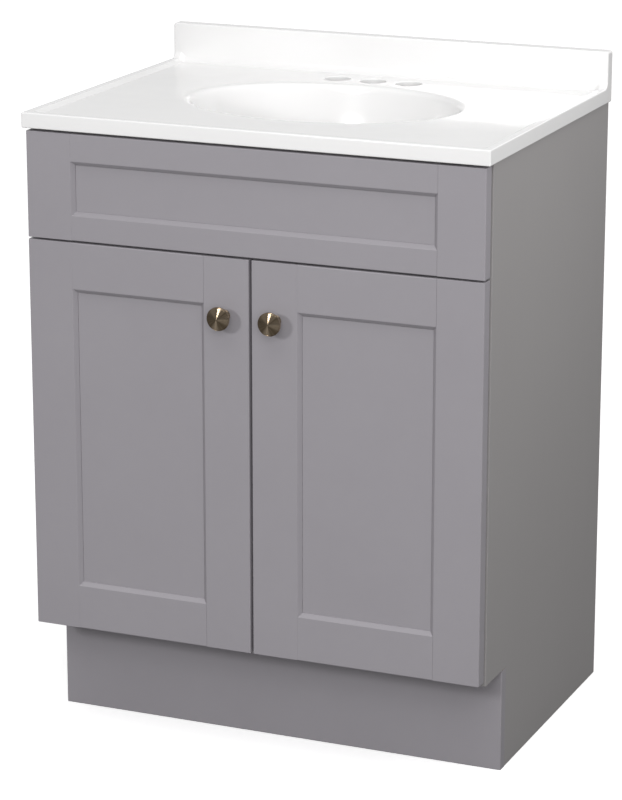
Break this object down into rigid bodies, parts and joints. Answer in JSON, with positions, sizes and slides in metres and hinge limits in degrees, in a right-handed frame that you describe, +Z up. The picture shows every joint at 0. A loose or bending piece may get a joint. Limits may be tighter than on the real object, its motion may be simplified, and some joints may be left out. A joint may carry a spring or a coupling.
{
  "type": "bathroom vanity cabinet",
  "caption": "Grey frame-and-panel bathroom vanity with a pair of hinged doors, a fixed drawer front, a recessed toe kick and a white one-piece top with an oval bowl.",
  "frame": {"origin": "centre of the whole object's footprint, on the floor", "axes": "+X to the right as seen from the front, +Y towards the wall, +Z up"},
  "size_m": [0.6224, 0.487, 0.8617],
  "materials": {
    "cast_marble": "gloss gel-coated cast polymer marble",
    "grey_paint": "satin painted fibreboard",
    "grey_foil": "satin foil on particle board",
    "white_board": "melamine on particle board",
    "satin_nickel": "brushed satin nickel",
    "nickel_steel": "nickel-plated pressed steel",
    "zinc_steel": "zinc-plated steel",
    "white_nylon": "moulded nylon",
    "clear_rubber": "clear polyurethane bumper",
    "beech": "fluted beech dowel"
  },
  "bodies": {
    "cabinet": {"back_bottom_rail": "white_board", "back_top_rail": "white_board", "bracket_screws": "zinc_steel", "corner_bracket_back_left": "white_nylon", "corner_bracket_back_right": "white_nylon", "corner_bracket_front_left": "white_nylon", "corner_bracket_front_right": "white_nylon", "drawer_front_panel": "grey_paint", "drawer_front_rail_bottom": "grey_paint", "drawer_front_rail_top": "grey_paint", "drawer_front_screws": "zinc_steel", "drawer_front_spacers": "white_nylon", "drawer_front_stile_left": "grey_paint", "drawer_front_stile_right": "grey_paint", "floor_panel": "white_board", "front_mid_rail": "white_board", "front_top_rail": "white_board", "hinge_arm_screws": "zinc_steel", "hinge_plate_screws": "zinc_steel", "left_hinge_arm_lower": "nickel_steel", "left_hinge_arm_upper": "nickel_steel", "left_hinge_plate_lower": "nickel_steel", "left_hinge_plate_upper": "nickel_steel", "panel_dowels": "beech", "right_hinge_arm_lower": "nickel_steel", "right_hinge_arm_upper": "nickel_steel", "right_hinge_plate_lower": "nickel_steel", "right_hinge_plate_upper": "nickel_steel", "side_panel_left": "grey_foil", "side_panel_right": "grey_foil", "toe_kick_board": "grey_foil", "vanity_top": "cast_marble"},
    "left_door": {"left_door_bumpers": "clear_rubber", "left_door_panel": "grey_paint", "left_door_rail_bottom": "grey_paint", "left_door_rail_top": "grey_paint", "left_door_stile_left": "grey_paint", "left_door_stile_right": "grey_paint", "left_hinge_cup_lower": "nickel_steel", "left_hinge_cup_screws": "zinc_steel", "left_hinge_cup_upper": "nickel_steel", "left_hinge_pins": "nickel_steel", "left_knob": "satin_nickel", "left_knob_screw": "zinc_steel"},
    "right_door": {"right_door_bumpers": "clear_rubber", "right_door_panel": "grey_paint", "right_door_rail_bottom": "grey_paint", "right_door_rail_top": "grey_paint", "right_door_stile_left": "grey_paint", "right_door_stile_right": "grey_paint", "right_hinge_cup_lower": "nickel_steel", "right_hinge_cup_screws": "zinc_steel", "right_hinge_cup_upper": "nickel_steel", "right_hinge_pins": "nickel_steel", "right_knob": "satin_nickel", "right_knob_screw": "zinc_steel"}
  },
  "joints": [
    {"name": "left_door_hinge", "type": "hinge", "parent": "cabinet", "child": "left_door", "pos_m": [-0.29945, -0.2095, 0.39655], "axis": [0, 0, -1], "range_deg": [0, 100]},
    {"name": "right_door_hinge", "type": "hinge", "parent": "cabinet", "child": "right_door", "pos_m": [0.29945, -0.2095, 0.39655], "axis": [0, 0, 1], "range_deg": [0, 100]}
  ]
}
